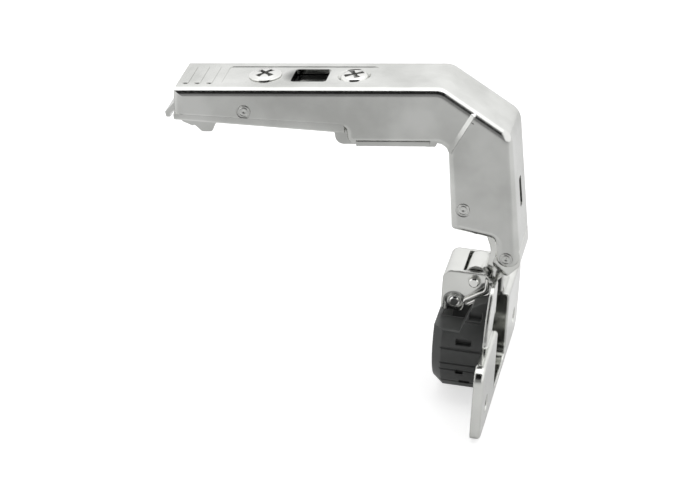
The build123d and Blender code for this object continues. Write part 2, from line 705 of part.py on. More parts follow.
# Carriage: a channel inside the arm that clips over the mounting plate
with BuildPart() as carriage:
    with BuildSketch(arm_side(carriage_half)):
        with BuildLine():
            FilletPolyline(
                (carriage_start, -carriage_top), (carriage_end, -carriage_top),
                (carriage_end, -carriage_foot_depth), (carriage_foot_start, -carriage_foot_depth),
                (carriage_foot_start - 0.6, -carriage_hook_depth), (carriage_hook_start, -carriage_hook_depth),
                (carriage_hook_start - 0.5, -carriage_depth), (carriage_start, -carriage_depth),
                radius=[0.8, 2.0, 0.6, 0.6, 0.4, 2.0, 1.0, 0.8], close=True)
        make_face()
    extrude(amount=2 * carriage_half)
    with BuildSketch(arm_side(carriage_inner_half)):
        with BuildLine():
            Polyline((carriage_start - 1, -carriage_under), (carriage_end + 1, -carriage_under),
                     (carriage_end + 1, -carriage_foot_depth - 1), (carriage_start - 1, -carriage_foot_depth - 1),
                     close=True)
        make_face()
    extrude(amount=2 * carriage_inner_half, mode=Mode.SUBTRACT)
    with BuildSketch(arm_deck(-carriage_top)):
        with Locations((side_screw_along, 0)):
            SlotOverall(2 * (side_screw_radius + carriage_travel + clearance), 2 * (side_screw_radius + clearance))
        with Locations((cam_along, 0)):
            SlotOverall(2 * (cam_head_radius + carriage_travel + clearance), 2 * (cam_head_radius + clearance))
        with Locations(((window_start + window_end) / 2, 0)):
            RectangleRounded(window_end - window_start - 1.6, 2 * window_half_width - 0.4, window_corner_radius)
    extrude(amount=-2 * carriage_sheet, mode=Mode.SUBTRACT)
    with BuildSketch(arm_side(carriage_half)):
        with Locations(rivet_places[2]):
            SlotOverall(2 * (rivet_radius + carriage_travel + clearance), 2 * (rivet_radius + clearance))
        with Locations((lever_pin_along, -lever_pin_down)):
            Circle(lever_pin_radius + press_gap)
    extrude(amount=2 * carriage_half, mode=Mode.SUBTRACT)

# Pin of the clip lever, flush with the carriage's cheeks
with BuildPart() as lever_pin:
    with BuildSketch(arm_side(carriage_half)):
        with Locations((lever_pin_along, -lever_pin_down)):
            Circle(lever_pin_radius)
    extrude(amount=2 * carriage_half)

# Clip lever: two hooked cheeks, a bridge and the finger tab at the tail
with BuildPart() as clip_lever:
    with BuildSketch(arm_side(lever_half_width)):
        with BuildLine():
            FilletPolyline(
                near(lever_pin_place, -lever_bridge_back, lever_bridge_rise),
                near(lever_pin_place, lever_nose, lever_crown),
                near(lever_pin_place, lever_nose, -lever_heel_drop),
                near(lever_pin_place, -hook_back, -hook_drop), near(lever_pin_place, -hook_tip_back, -hook_tip_drop),
                near(lever_pin_place, -hook_tip_back - 2 * lever_sheet, -hook_tip_drop),
                near(lever_pin_place, -hook_throat_back, -hook_drop),
                near(lever_pin_place, -hook_throat_back, -hook_drop - lever_sheet / 2),
                near(lever_pin_place, -lever_bridge_back, -lever_bridge_drop),
                radius=[0.4, 0.9, 1.2, 0.8, 0.6, 0.6, 0.2, 0.2, 0.5], close=True)
        make_face()
    extrude(amount=2 * lever_half_width)
    with BuildSketch(arm_side(lever_half_width - lever_sheet)):
        with BuildLine():
            Polyline(
                near(lever_pin_place, lever_sheet - lever_bridge_back, lever_nose),
                near(lever_pin_place, 2 * lever_nose, lever_nose),
                near(lever_pin_place, 2 * lever_nose, -hook_tip_drop - 1),
                near(lever_pin_place, lever_sheet - lever_bridge_back, -hook_tip_drop - 1), close=True)
        make_face()
    extrude(amount=2 * (lever_half_width - lever_sheet), mode=Mode.SUBTRACT)
    with BuildSketch(arm_side(lever_half_width)):
        with BuildLine():
            Polyline(
                near(lever_pin_place, lever_sheet - lever_bridge_back, lever_bridge_rise),
                near(lever_pin_place, -lever_bridge_back - lever_sheet / 2, lever_crown),
                near(lever_pin_place, -tab_back, -tab_drop), near(lever_pin_place, lever_sheet / 6 - tab_back, -tab_lip_drop),
                near(lever_pin_place, lever_sheet - tab_back, -tab_lip_drop),
                near(lever_pin_place, lever_sheet - tab_back, -tab_drop - lever_sheet / 3),
                near(lever_pin_place, lever_sheet / 6 - lever_bridge_back, -lever_sheet / 6),
                near(lever_pin_place, lever_sheet - lever_bridge_back, -lever_sheet / 6), close=True)
        make_face()
    extrude(amount=2 * lever_half_width)
    with BuildSketch(arm_side(lever_half_width)):
        with Locations(lever_pin_place):
            Circle(lever_pin_radius + running_gap)
    extrude(amount=2 * lever_half_width, mode=Mode.SUBTRACT)

# Lever spring: a torsion coil around the lever's pin
with BuildPart() as lever_spring:
    coil_pitch = 2.4 * spring_wire_radius
    coil_middle = arm_side(coil_pitch * spring_turns / 2).from_local_coords((*lever_pin_place, 0))
    with BuildLine() as coil:
        Helix(pitch=coil_pitch, height=coil_pitch * spring_turns, radius=spring_coil_radius,
              center=coil_middle, direction=(0, -1, 0))
    with BuildSketch(Plane(origin=coil.line @ 0, z_dir=coil.line % 0)):
        Circle(spring_wire_radius)
    sweep(path=coil.line)

names = {
    "cup_flange": cup_flange.part, "link_pin": link_pin_part.part, "deep_pin": deep_pin_part.part,
    "nylon_housing": nylon_housing.part, "damper_cylinder": damper_cylinder.part,
    "damper_rod": damper_rod.part, "closing_spring_near": closing_spring_near,
    "closing_spring_far": closing_spring_far,
    "outer_link": outer_link.part, "inner_link": inner_link.part, "hinge_arm": hinge_arm.part,
    "tip_rivet": tip_rivet, "mid_rivets": mid_rivets, "tail_rivet": tail_rivet,
    "side_screw": side_screw.part, "depth_cam": depth_cam.part, "carriage": carriage.part,
    "lever_pin": lever_pin.part, "clip_lever": clip_lever.part, "lever_spring": lever_spring.part,
}
os.makedirs("parts", exist_ok=True)
for name, piece in names.items():
    piece.label = name
    export_step(piece, f"parts/{name}.step")
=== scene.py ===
import math
import bmesh
import bpy
from mathutils import Matrix, Vector


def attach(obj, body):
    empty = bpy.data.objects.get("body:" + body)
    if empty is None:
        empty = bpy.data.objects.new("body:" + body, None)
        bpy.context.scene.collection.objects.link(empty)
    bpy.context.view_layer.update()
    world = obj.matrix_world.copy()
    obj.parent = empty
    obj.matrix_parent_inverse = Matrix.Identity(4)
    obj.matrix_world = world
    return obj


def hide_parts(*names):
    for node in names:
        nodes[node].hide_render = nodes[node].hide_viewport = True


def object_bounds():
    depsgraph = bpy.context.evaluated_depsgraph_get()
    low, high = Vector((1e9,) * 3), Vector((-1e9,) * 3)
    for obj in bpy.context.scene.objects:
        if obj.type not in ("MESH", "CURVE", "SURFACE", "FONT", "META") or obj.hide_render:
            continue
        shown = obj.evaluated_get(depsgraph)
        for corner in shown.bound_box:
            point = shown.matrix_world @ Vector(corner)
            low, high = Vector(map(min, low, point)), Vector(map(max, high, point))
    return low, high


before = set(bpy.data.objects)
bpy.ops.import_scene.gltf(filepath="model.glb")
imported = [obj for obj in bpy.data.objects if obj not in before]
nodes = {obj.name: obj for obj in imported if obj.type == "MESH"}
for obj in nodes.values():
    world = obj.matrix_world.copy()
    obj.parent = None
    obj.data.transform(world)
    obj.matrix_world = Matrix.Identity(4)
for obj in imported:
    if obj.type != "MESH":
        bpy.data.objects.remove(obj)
cadBox = [list(corner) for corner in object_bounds()]
scene = bpy.context.scene
scene.view_settings.view_transform = "Standard"
print("frame loaded:", len(nodes), "nodes")

# the arm's own directions: along the deck, across it, and out of it, from the tail end of the deck
armPlace = {"tail": (-0.081578, 0.0, 0.065004), "tilt": 7.5}
tilt = math.radians(armPlace["tilt"])
alongDeck = Vector((math.cos(tilt), 0, math.sin(tilt)))
acrossDeck = Vector((0, 1, 0))
outOfDeck = Vector((-math.sin(tilt), 0, math.cos(tilt)))
mm = 0.001
weldDistance = 1e-7


def onArm(x, z, y=0.0):
    # millimetres along the deck, above it and across it
    return Vector(armPlace["tail"]) + (alongDeck * x + outOfDeck * z + acrossDeck * y) * mm


def meshObject(name, bm, material, smoothAngle=35):
    bmesh.ops.remove_doubles(bm, verts=bm.verts, dist=weldDistance)
    bmesh.ops.recalc_face_normals(bm, faces=bm.faces)
    mesh = bpy.data.meshes.new(name)
    bm.to_mesh(mesh)
    bm.free()
    for face in mesh.polygons:
        face.use_smooth = True
    mesh.set_sharp_from_angle(angle=math.radians(smoothAngle))
    mesh.materials.clear()
    mesh.materials.append(material)
    obj = bpy.data.objects.new(name, mesh)
    scene.collection.objects.link(obj)
    return obj


def lathe(bm, profile, axisPoint, axisOut, steps=64):
    # turns a profile of (radius, height) pairs about an axis; ends on the axis are closed
    side = axisOut.orthogonal().normalized()
    other = axisOut.cross(side)
    rings = []
    for radius, height in profile:
        centre = axisPoint + axisOut * height * mm
        if radius == 0:
            rings.append([bm.verts.new(centre)])
            continue
        ring = []
        for step in range(steps):
            angle = 2 * math.pi * step / steps
            outwards = side * math.cos(angle) + other * math.sin(angle)
            ring.append(bm.verts.new(centre + outwards * radius * mm))
        rings.append(ring)
    for lower, upper in zip(rings, rings[1:]):
        for step in range(steps):
            nextStep = (step + 1) % steps
            if len(lower) == 1:
                bm.faces.new((lower[0], upper[step], upper[nextStep]))
            elif len(upper) == 1:
                bm.faces.new((lower[step], lower[nextStep], upper[0]))
            else:
                bm.faces.new((lower[step], lower[nextStep], upper[nextStep], upper[step]))


# small helpers for shader trees
def newMaterial(name):
    mat = bpy.data.materials.new(name)
    mat.use_nodes = True
    tree = mat.node_tree
    return mat, tree, tree.nodes["Principled BSDF"]


def addNode(tree, kind, inputs=None, **props):
    node = tree.nodes.new(kind)
    for key, value in props.items():
        setattr(node, key, value)
    for key, value in (inputs or {}).items():
        node.inputs[key].default_value = value
    return node


def objectCoords(tree, scale=(1, 1, 1), turn=(0, 0, 0)):
    coords = addNode(tree, "ShaderNodeTexCoord")
    mapping = addNode(tree, "ShaderNodeMapping", {"Scale": scale, "Rotation": turn})
    tree.links.new(coords.outputs["Object"], mapping.inputs["Vector"])
    return mapping.outputs["Vector"]


def ramp(tree, factor, stops):
    node = addNode(tree, "ShaderNodeValToRGB")
    elements = node.color_ramp.elements
    while len(elements) < len(stops):
        elements.new(0.5)
    for element, (place, colour) in zip(elements, stops):
        element.position = place
        element.color = colour if len(colour) == 4 else (*colour, 1)
    tree.links.new(factor, node.inputs["Fac"])
    return node.outputs["Color"]


bevelSamples = 6


def softenAndRoughen(tree, shader, grain, look):
    # softened edges, with the grain's fine relief on them
    soft = addNode(tree, "ShaderNodeBevel", {"Radius": look["edgeRadius"]}, samples=bevelSamples)
    bump = addNode(tree, "ShaderNodeBump", {"Strength": look["bump"], "Distance": look["bumpDepth"]})
    tree.links.new(grain.outputs["Fac"], bump.inputs["Height"])
    tree.links.new(soft.outputs["Normal"], bump.inputs["Normal"])
    tree.links.new(bump.outputs["Normal"], shader.inputs["Normal"])


# nickel plate: rolled sheet with a fine grain, a few dull patches and softened edges
plateNoise = {"grainDetail": 4.0, "grainRough": 0.6, "grainFrom": 0.25, "grainTo": 0.75,
              "patchDetail": 3.0, "patchFrom": 0.3, "patchTo": 0.7}


def makeNickel(name, look):
    mat, tree, shader = newMaterial(name)
    link = tree.links.new
    shader.inputs["Metallic"].default_value = 1.0
    grain = addNode(tree, "ShaderNodeTexNoise", {
        "Scale": look["grainScale"], "Detail": plateNoise["grainDetail"],
        "Roughness": plateNoise["grainRough"]})
    link(objectCoords(tree, look["grainStretch"], look["grainTurn"]), grain.inputs["Vector"])
    patches = addNode(tree, "ShaderNodeTexNoise", {
        "Scale": look["patchScale"], "Detail": plateNoise["patchDetail"]})
    link(objectCoords(tree), patches.inputs["Vector"])
    colour = ramp(tree, patches.outputs["Fac"], [
        (plateNoise["patchFrom"], look["darkColour"]), (plateNoise["patchTo"], look["lightColour"])])
    link(colour, shader.inputs["Base Color"])
    rough = addNode(tree, "ShaderNodeMapRange", {
        "From Min": plateNoise["grainFrom"], "From Max": plateNoise["grainTo"],
        "To Min": look["roughMin"], "To Max": look["roughMax"]})
    link(grain.outputs["Fac"], rough.inputs["Value"])
    link(rough.outputs["Result"], shader.inputs["Roughness"])
    softenAndRoughen(tree, shader, grain, look)
    return mat


armLook = {
    "grainScale": 1400.0, "grainStretch": (0.5, 1.0, 1.0), "grainTurn": (0, 0.13, 0), "patchScale": 85.0,
    "darkColour": (0.56, 0.565, 0.545), "lightColour": (0.75, 0.755, 0.735),
    "roughMin": 0.12, "roughMax": 0.2, "edgeRadius": 0.00006, "bump": 0.3, "bumpDepth": 0.00001}
cupLook = {
    "grainScale": 1500.0, "grainStretch": (1.0, 1.0, 0.4), "grainTurn": (0, 0, 0), "patchScale": 80.0,
    "darkColour": (0.66, 0.665, 0.64), "lightColour": (0.76, 0.765, 0.74),
    "roughMin": 0.08, "roughMax": 0.14, "edgeRadius": 0.0008, "bump": 0.08, "bumpDepth": 0.00001}
brightLook = {
    "grainScale": 1500.0, "grainStretch": (1.0, 1.0, 1.0), "grainTurn": (0, 0, 0), "patchScale": 150.0,
    "darkColour": (0.74, 0.74, 0.72), "lightColour": (0.84, 0.84, 0.82),
    "roughMin": 0.07, "roughMax": 0.12, "edgeRadius": 0.0001, "bump": 0.04, "bumpDepth": 0.00001}
armNickel = makeNickel("armNickel", armLook)
carriageNickel = makeNickel("carriageNickel", armLook)

# painted shade: the carriage's colour is darkened where it shows through the arm's window, and so is the
# window's wall, for the shade inside the window
windowShadeLook = {"centre": (31.5, -4.0), "half": (0.0075, 0.0068, 0.0052), "fade": (0.85, 1.15), "shade": 0.05}
sillShadeLook = {"centre": (31.5, -1.5), "half": (0.0065, 0.0060, 0.00135), "fade": (0.85, 1.15), "shade": 0.15}


def paintShadeUnderWindow(mat, look):
    tree = mat.node_tree
    link = tree.links.new
    shader = tree.nodes["Principled BSDF"]
    fadeFrom, fadeTo = look["fade"]
    coords = addNode(tree, "ShaderNodeTexCoord")
    shift = addNode(tree, "ShaderNodeVectorMath", {1: onArm(*look["centre"])}, operation="SUBTRACT")
    link(coords.outputs["Object"], shift.inputs[0])
    away = addNode(tree, "ShaderNodeVectorMath", {1: look["half"]}, operation="DIVIDE")
    link(shift.outputs[0], away.inputs[0])
    size = addNode(tree, "ShaderNodeVectorMath", operation="LENGTH")
    link(away.outputs[0], size.inputs[0])
    share = addNode(tree, "ShaderNodeMapRange", {
        "From Min": fadeFrom, "From Max": fadeTo, "To Min": look["shade"]})
    link(size.outputs["Value"], share.inputs["Value"])
    # the base colour scaled down inside a box round the centre, fading out at its edges: painted shade
    mix = addNode(tree, "ShaderNodeVectorMath", operation="SCALE")
    link(shader.inputs["Base Color"].links[0].from_socket, mix.inputs[0])
    link(share.outputs["Result"], mix.inputs["Scale"])
    link(mix.outputs[0], shader.inputs["Base Color"])


paintShadeUnderWindow(carriageNickel, windowShadeLook)
paintShadeUnderWindow(armNickel, sillShadeLook)
cupNickel = makeNickel("cupNickel", cupLook)
brightNickel = makeNickel("brightNickel", brightLook)

# moulded nylon of the housing and the damper
nylonLook = {
    "colour": (0.044, 0.046, 0.045), "paleColour": (0.070, 0.073, 0.071), "cloudScale": 140.0,
    "cloudDetail": 2.0, "cloudFrom": 0.3, "cloudTo": 0.7, "grainScale": 2500.0, "grainDetail": 3.0,
    "roughness": 0.34, "bump": 0.12, "bumpDepth": 0.00002, "edgeRadius": 0.00035}


def makeNylon(look):
    mat, tree, shader = newMaterial("mouldedNylon")
    link = tree.links.new
    grain = addNode(tree, "ShaderNodeTexNoise", {"Scale": look["grainScale"], "Detail": look["grainDetail"]})
    link(objectCoords(tree), grain.inputs["Vector"])
    cloud = addNode(tree, "ShaderNodeTexNoise", {"Scale": look["cloudScale"], "Detail": look["cloudDetail"]})
    link(objectCoords(tree), cloud.inputs["Vector"])
    colour = ramp(tree, cloud.outputs["Fac"], [
        (look["cloudFrom"], look["colour"]), (look["cloudTo"], look["paleColour"])])
    link(colour, shader.inputs["Base Color"])
    shader.inputs["Roughness"].default_value = look["roughness"]
    softenAndRoughen(tree, shader, grain, look)
    return mat


mouldedNylon = makeNylon(nylonLook)
finishes = {
    "hinge_arm": armNickel, "carriage": carriageNickel, "clip_lever": armNickel, "cup_flange": cupNickel,
    "outer_link": cupNickel, "inner_link": cupNickel, "link_pin": brightNickel, "deep_pin": brightNickel,
    "tip_rivet": armNickel, "mid_rivets": armNickel, "tail_rivet": armNickel, "lever_pin": brightNickel,
    "side_screw": brightNickel, "depth_cam": brightNickel, "closing_spring_near": brightNickel,
    "closing_spring_far": brightNickel, "lever_spring": brightNickel, "nylon_housing": mouldedNylon,
    "damper_cylinder": mouldedNylon, "damper_rod": mouldedNylon}
for name, finish in finishes.items():
    slots = nodes[name].data.materials
    slots.clear()
    slots.append(finish)
print("finishes on", len(finishes), "nodes")

# arm sheet with a shallower panel and grip ribs, as pressed, and cheeks that reach out at the tail
armSheet = {
    "panelDepth": 0.3, "pressedDepth": 0.12, "panelAlong": (10.5, 47.2), "panelHalf": 5.3,
    "ribHeight": 0.25, "pressedRibs": 0.16, "sameHeight": 0.01,
    "tailReach": 1.8, "tailTop": 0.75, "tailFoot": 1.05, "tailInside": 7.4, "tailOutside": 8.0,
    "footBelow": 8.0}


def mergedCopy(source):
    # joins the loose triangles of a CAD mesh; every corner keeps its own normal
    mesh = source.copy()
    corners = mesh.attributes.new("cornerNormal", "FLOAT_VECTOR", "CORNER").data
    for corner, normal in zip(corners, mesh.corner_normals):
        corner.vector = normal.vector
    bm = bmesh.new()
    bm.from_mesh(mesh)
    bmesh.ops.remove_doubles(bm, verts=bm.verts, dist=weldDistance)
    bm.to_mesh(mesh)
    bm.free()
    keptNormals = mesh.attributes["cornerNormal"]
    mesh.normals_split_custom_set([corner.vector.copy() for corner in keptNormals.data])
    mesh.attributes.remove(mesh.attributes["cornerNormal"])
    return mesh


def pressSheet(mesh, look):
    panelStart, panelEnd = look["panelAlong"]
    for vertex in mesh.vertices:
        reach = (vertex.co - Vector(armPlace["tail"])) / mm
        along, height = reach.dot(alongDeck), reach.dot(outOfDeck)
        inPanel = panelStart < along < panelEnd and abs(reach.y) < look["panelHalf"]
        if inPanel and abs(height + look["panelDepth"]) < look["sameHeight"]:
            vertex.co += outOfDeck * (look["panelDepth"] - look["pressedDepth"]) * mm
        if abs(height - look["ribHeight"]) < look["sameHeight"]:
            vertex.co -= outOfDeck * (look["ribHeight"] - look["pressedRibs"]) * mm
        # the cheeks' tail ends reach a little further than the deck, most at their foot
        if along < look["tailReach"]:
            width = look["tailOutside"] - look["tailInside"]
            sideways = min(1.0, max(0.0, (abs(reach.y) - look["tailInside"]) / width))
            foot = min(1.0, max(0.0, -height / look["footBelow"]))
            fall = 1 - max(0.0, along) / look["tailReach"]
            push = (look["tailTop"] + look["tailFoot"] * foot) * fall
            vertex.co -= alongDeck * sideways * push * mm


armMesh = mergedCopy(nodes["hinge_arm"].data)
pressSheet(armMesh, armSheet)
armShell = bpy.data.objects.new("armShell", armMesh)
scene.collection.objects.link(armShell)
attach(armShell, "arm")
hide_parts("hinge_arm")

# creases at the shoulder, and along the cheeks' lower edges a low bead in front and a skirt at the tail
cheekForms = {
    "plane": 8.75, "smooth": 20,
    "crease": {
        "start": (65.5, -15.9), "end": (72.2, -5.9), "back": 0.95, "front": 0.3, "crest": 0.02,
        "height": 0.8, "sunk": 0.02, "root": 0.5,
        "swell": [(0.0, 0.7), (0.08, 1.0), (0.5, 1.0), (0.82, 1.0), (0.88, 0.95), (0.92, 0.8), (0.96, 0.1)],
        "shoulderStart": (64.3, 0.0), "shoulderRun": (0.7945, -0.6073), "bendRadius": 2.0},
    "bead": {
        "start": (43.0, -14.45), "end": (60.6, -14.45), "half": 0.6, "height": 0.05, "root": 0.4, "points": 9,
        "swell": [(0.0, 0.05), (0.04, 1.0), (0.96, 1.0), (1.0, 0.05)]},
    "skirt": {
        "along": (-0.75, 40.4), "top": (-6.7, -9.2), "foot": (-7.95, -11.2), "thick": 1.15,
        "tuck": 0.3, "tucked": 0.03, "flatBelow": 0.4, "proud": 0.01,
        "edge": [(0.45, 0.01), (0.2, -0.05), (0.05, -0.2), (0.0, -0.45)]}}


def bar(bm, stations, side):
    # a closed bar on a cheek; a station lists its section's points as (along, height, proud of the cheek)
    loops = []
    for section in stations:
        loops.append([bm.verts.new(onArm(x, z, side * (cheekForms["plane"] + out))) for x, z, out in section])
    for first, second in zip(loops, loops[1:]):
        count = len(first)
        for k in range(count):
            after = (k + 1) % count
            bm.faces.new((first[k], first[after], second[after], second[k]))
    bm.faces.new(loops[0])
    bm.faces.new(reversed(loops[-1]))


def creaseStations(look):
    # a wedge with a narrow crest, along the bend; swell lists (share of its length, share of its height)
    (x0, z0), (x1, z1) = look["start"], look["end"]
    length = math.hypot(x1 - x0, z1 - z0)
    ux, uz = (x1 - x0) / length, (z1 - z0) / length
    runX, runZ = look["shoulderRun"]
    radius = look["bendRadius"]
    back, front, root = look["back"], look["front"], look["root"]

    def surface(x, z):
        # how far the bend has drawn the sheet inwards, from the depth below the shoulder's sloping face
        depth = (x - look["shoulderStart"][0]) * runZ - (z - look["shoulderStart"][1]) * runX
        lack = min(radius, max(0.0, radius - depth))
        return math.sqrt(radius * radius - lack * lack) - radius

    stations = []
    for share, scale in look["swell"]:
        x, z = x0 + (x1 - x0) * share, z0 + (z1 - z0) * share
        edge, crest = -look["sunk"], look["height"] * scale - look["sunk"]
        outline = [(-back, edge), (0.0, crest), (look["crest"], crest), (front, edge),
                   (front, -root), (-back, -root)]
        section = []
        for across, out in outline:
            px, pz = x + uz * across, z - ux * across
            section.append((px, pz, surface(px, pz) + out))
        stations.append(section)
    return stations


def beadStations(look):
    # a shallow round bead that dies out at both ends
    (x0, z0), (x1, z1) = look["start"], look["end"]
    half, height = look["half"], look["height"]
    stations = []
    for share, scale in look["swell"]:
        x, z = x0 + (x1 - x0) * share, z0 + (z1 - z0) * share
        section = []
        for k in range(look["points"]):
            across = -1 + 2 * k / (look["points"] - 1)
            section.append((x, z + half + across * half, height * scale * (1 - across * across)))
        section.append((x, z + 2 * half, -look["root"]))
        section.append((x, z, -look["root"]))
        stations.append(section)
    return stations


def skirtStations(look):
    # a flat strip in the cheek's plane, tucked in at its top, with a rounded lower edge
    stations = []
    for x, top, foot in zip(look["along"], look["top"], look["foot"]):
        section = [(x, top + look["tuck"], -look["tucked"]), (x, top - look["flatBelow"], look["proud"])]
        section += [(x, foot + up, out) for up, out in look["edge"]]
        section += [(x, foot, -look["thick"]), (x, top + look["tuck"], -look["thick"])]
        stations.append(section)
    return stations


bm = bmesh.new()
for side in (-1, 1):
    bar(bm, creaseStations(cheekForms["crease"]), side)
    bar(bm, skirtStations(cheekForms["skirt"]), side)
    bar(bm, beadStations(cheekForms["bead"]), side)
cheekRidges = meshObject("cheekRidges", bm, armNickel, cheekForms["smooth"])
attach(cheekRidges, "arm")
print("arm sheet, creases, beads and skirts made")

# rivets: six riveted ends, each with a ring and a centre mark, just below the cheeks' plane
rivetLook = {
    "seats": {"tip": (76.93, -43.72), "mid": (67.48, -30.83), "tail": (16.54, -5.78)},
    "innerEnds": {"tip": 0.0, "mid": 3.75, "tail": 0.0},
    "headDepth": 0.6, "headScale": 1.0, "headSteps": 48, "shank": 1.5, "shankSteps": 32, "smooth": 60,
    "profile": [(0, -0.20), (0.22, -0.19), (0.34, -0.09), (0.62, -0.05), (1.0, -0.05), (1.08, -0.13),
                (1.16, -0.05), (1.38, -0.05), (1.50, -0.12), (1.54, -0.3), (1.5, -0.6), (0, -0.6)]}


def newTree(name, inputs):
    # a geometry tree with named inputs, given back with its input and output nodes
    tree = bpy.data.node_groups.new(name, "GeometryNodeTree")
    for label, kind in inputs.items():
        tree.interface.new_socket(label, in_out="INPUT", socket_type="NodeSocket" + kind)
    tree.interface.new_socket("Geometry", in_out="OUTPUT", socket_type="NodeSocketGeometry")
    return tree, tree.nodes.new("NodeGroupInput"), tree.nodes.new("NodeGroupOutput")


def endTree(tree, enter, leave, instances):
    # the instances made real, in the piece's metal
    link = tree.links.new
    real = addNode(tree, "GeometryNodeRealizeInstances")
    paint = addNode(tree, "GeometryNodeSetMaterial")
    link(instances, real.inputs["Geometry"])
    link(real.outputs["Geometry"], paint.inputs["Geometry"])
    link(enter.outputs["Metal"], paint.inputs["Material"])
    link(paint.outputs["Geometry"], leave.inputs["Geometry"])


def makeHeadTree():
    tree, enter, leave = newTree("rivetEnds", {
        "Geometry": "Geometry", "Head": "Object", "Head Scale": "Float", "Metal": "Material"})
    link = tree.links.new
    head = addNode(tree, "GeometryNodeObjectInfo")
    turn = addNode(tree, "GeometryNodeInputNamedAttribute", {"Name": "turn"}, data_type="FLOAT_VECTOR")
    spread = addNode(tree, "GeometryNodeInstanceOnPoints")
    link(enter.outputs["Geometry"], spread.inputs["Points"])
    link(enter.outputs["Head"], head.inputs["Object"])
    link(head.outputs["Geometry"], spread.inputs["Instance"])
    link(turn.outputs["Attribute"], spread.inputs["Rotation"])
    link(enter.outputs["Head Scale"], spread.inputs["Scale"])
    endTree(tree, enter, leave, spread.outputs["Instances"])
    return tree


def setInputs(modifier, values):
    named = {item.name: item.identifier for item in modifier.node_group.interface.items_tree
             if item.item_type == "SOCKET" and item.in_out == "INPUT"}
    for name, value in values.items():
        modifier[named[name]] = value


def baked(host, modifier, name):
    # the evaluated result as a plain mesh; the modifier is then removed
    bpy.context.view_layer.update()
    shape = bpy.data.meshes.new_from_object(host.evaluated_get(bpy.context.evaluated_depsgraph_get()))
    shape.name = name
    host.modifiers.remove(modifier)
    return shape


bm = bmesh.new()
lathe(bm, rivetLook["profile"], Vector((0, 0, 0)), Vector((0, -1, 0)), rivetLook["headSteps"])
rivetHead = meshObject("rivetHead", bm, armNickel, rivetLook["smooth"])
seatMesh = bpy.data.meshes.new("rivetSeats")
seatPoints = []
for x, z in rivetLook["seats"].values():
    seatPoints += [onArm(x, z, side * cheekForms["plane"]) for side in (-1, 1)]
seatMesh.from_pydata(seatPoints, [], [])
turns = seatMesh.attributes.new("turn", "FLOAT_VECTOR", "POINT")
for k in range(len(seatPoints)):
    turns.data[k].vector = (math.pi if k % 2 else 0.0, 0.0, 0.0)
seatHost = bpy.data.objects.new("rivetSeats", seatMesh)
scene.collection.objects.link(seatHost)
headModifier = seatHost.modifiers.new("heads", "NODES")
headModifier.node_group = makeHeadTree()
setInputs(headModifier, {"Head": rivetHead, "Head Scale": rivetLook["headScale"], "Metal": armNickel})
headShape = baked(seatHost, headModifier, "rivetHeads")
bpy.data.objects.remove(seatHost)
bpy.data.objects.remove(rivetHead)
bm = bmesh.new()
bm.from_mesh(headShape)
shankRadius, shankOut = rivetLook["shank"], cheekForms["plane"] - rivetLook["headDepth"]
for key, (x, z) in rivetLook["seats"].items():
    length = shankOut - rivetLook["innerEnds"][key]
    shank = [(0, 0), (shankRadius, 0), (shankRadius, -length), (0, -length)]
    for side in (-1, 1):
        lathe(bm, shank, onArm(x, z, side * shankOut), Vector((0, side, 0)), rivetLook["shankSteps"])
rivets = meshObject("rivets", bm, armNickel, rivetLook["smooth"])
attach(rivets, "arm")
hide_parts("tip_rivet", "mid_rivets", "tail_rivet")
print("rivets made")

# adjusting screws with flared cross recesses
# the recess takes a darker and rougher nickel; its darker colour is painted shade
recessShadeLook = dict(
    brightLook, darkColour=(0.42, 0.42, 0.41), lightColour=(0.52, 0.52, 0.51), roughMin=0.3, roughMax=0.45)
recessShadeNickel = makeNickel("recessShadeNickel", recessShadeLook)
screwLook = {
    "side": {"along": 20.4, "turn": 50, "top": 0.62, "node": "side_screw", "body": "side_screw",
             "profile": [(0, 0.66), (1.2, 0.65), (2.1, 0.58), (2.8, 0.46), (3.15, 0.32), (3.35, 0.26),
                         (3.78, 0.28), (3.93, 0.2), (4.0, 0.03), (3.9, -0.12), (2.5, -0.1), (2.5, -2.95),
                         (3.3, -2.95), (3.3, -3.75), (0, -3.75)]},
    "cam": {"along": 42.0, "turn": 28, "top": 0.3, "node": "depth_cam", "body": "depth_cam",
            "profile": [(0, 0.3), (2.2, 0.3), (2.75, 0.18), (3.1, -0.1), (3.3, -0.5), (3.4, -0.95),
                        (3.4, -2.95), (4.6, -2.95), (4.6, -4.15), (0, -4.15)]},
    "armHalf": 3.0, "armWidth": 1.2, "endWidth": 1.8, "waist": 0.45, "above": 1.0, "depth": 1.0,
    "floorLength": 0.62, "floorWidth": 0.7, "recessRadius": 2.75, "recessFrom": 0.2, "recessTo": 1.5,
    "smooth": 32}


def crossCutter(place, turn):
    # two crossed bars with flared ends that narrow towards the recess's floor
    half, waist = screwLook["armHalf"], screwLook["armHalf"] * screwLook["waist"]
    width, end = screwLook["armWidth"] / 2, screwLook["endWidth"] / 2
    outline = [(-half, -end), (-waist, -width), (waist, -width), (half, -end),
               (half, end), (waist, width), (-waist, width), (-half, end)]
    count = len(outline)
    bm = bmesh.new()
    for quarter in (0, 1):
        angle = math.radians(turn + 90 * quarter)
        run = alongDeck * math.cos(angle) + acrossDeck * math.sin(angle)
        across = outOfDeck.cross(run)
        top, low = [], []
        for x, y in outline:
            upper = run * x + across * y + outOfDeck * screwLook["above"]
            lower = run * x * screwLook["floorLength"] + across * y * screwLook["floorWidth"]
            top.append(bm.verts.new(place + upper * mm))
            low.append(bm.verts.new(place + (lower - outOfDeck * screwLook["depth"]) * mm))
        bm.faces.new(top)
        bm.faces.new(reversed(low))
        for k in range(count):
            after = (k + 1) % count
            bm.faces.new((top[after], top[k], low[k], low[after]))
    return meshObject("crossCutter", bm, brightNickel)


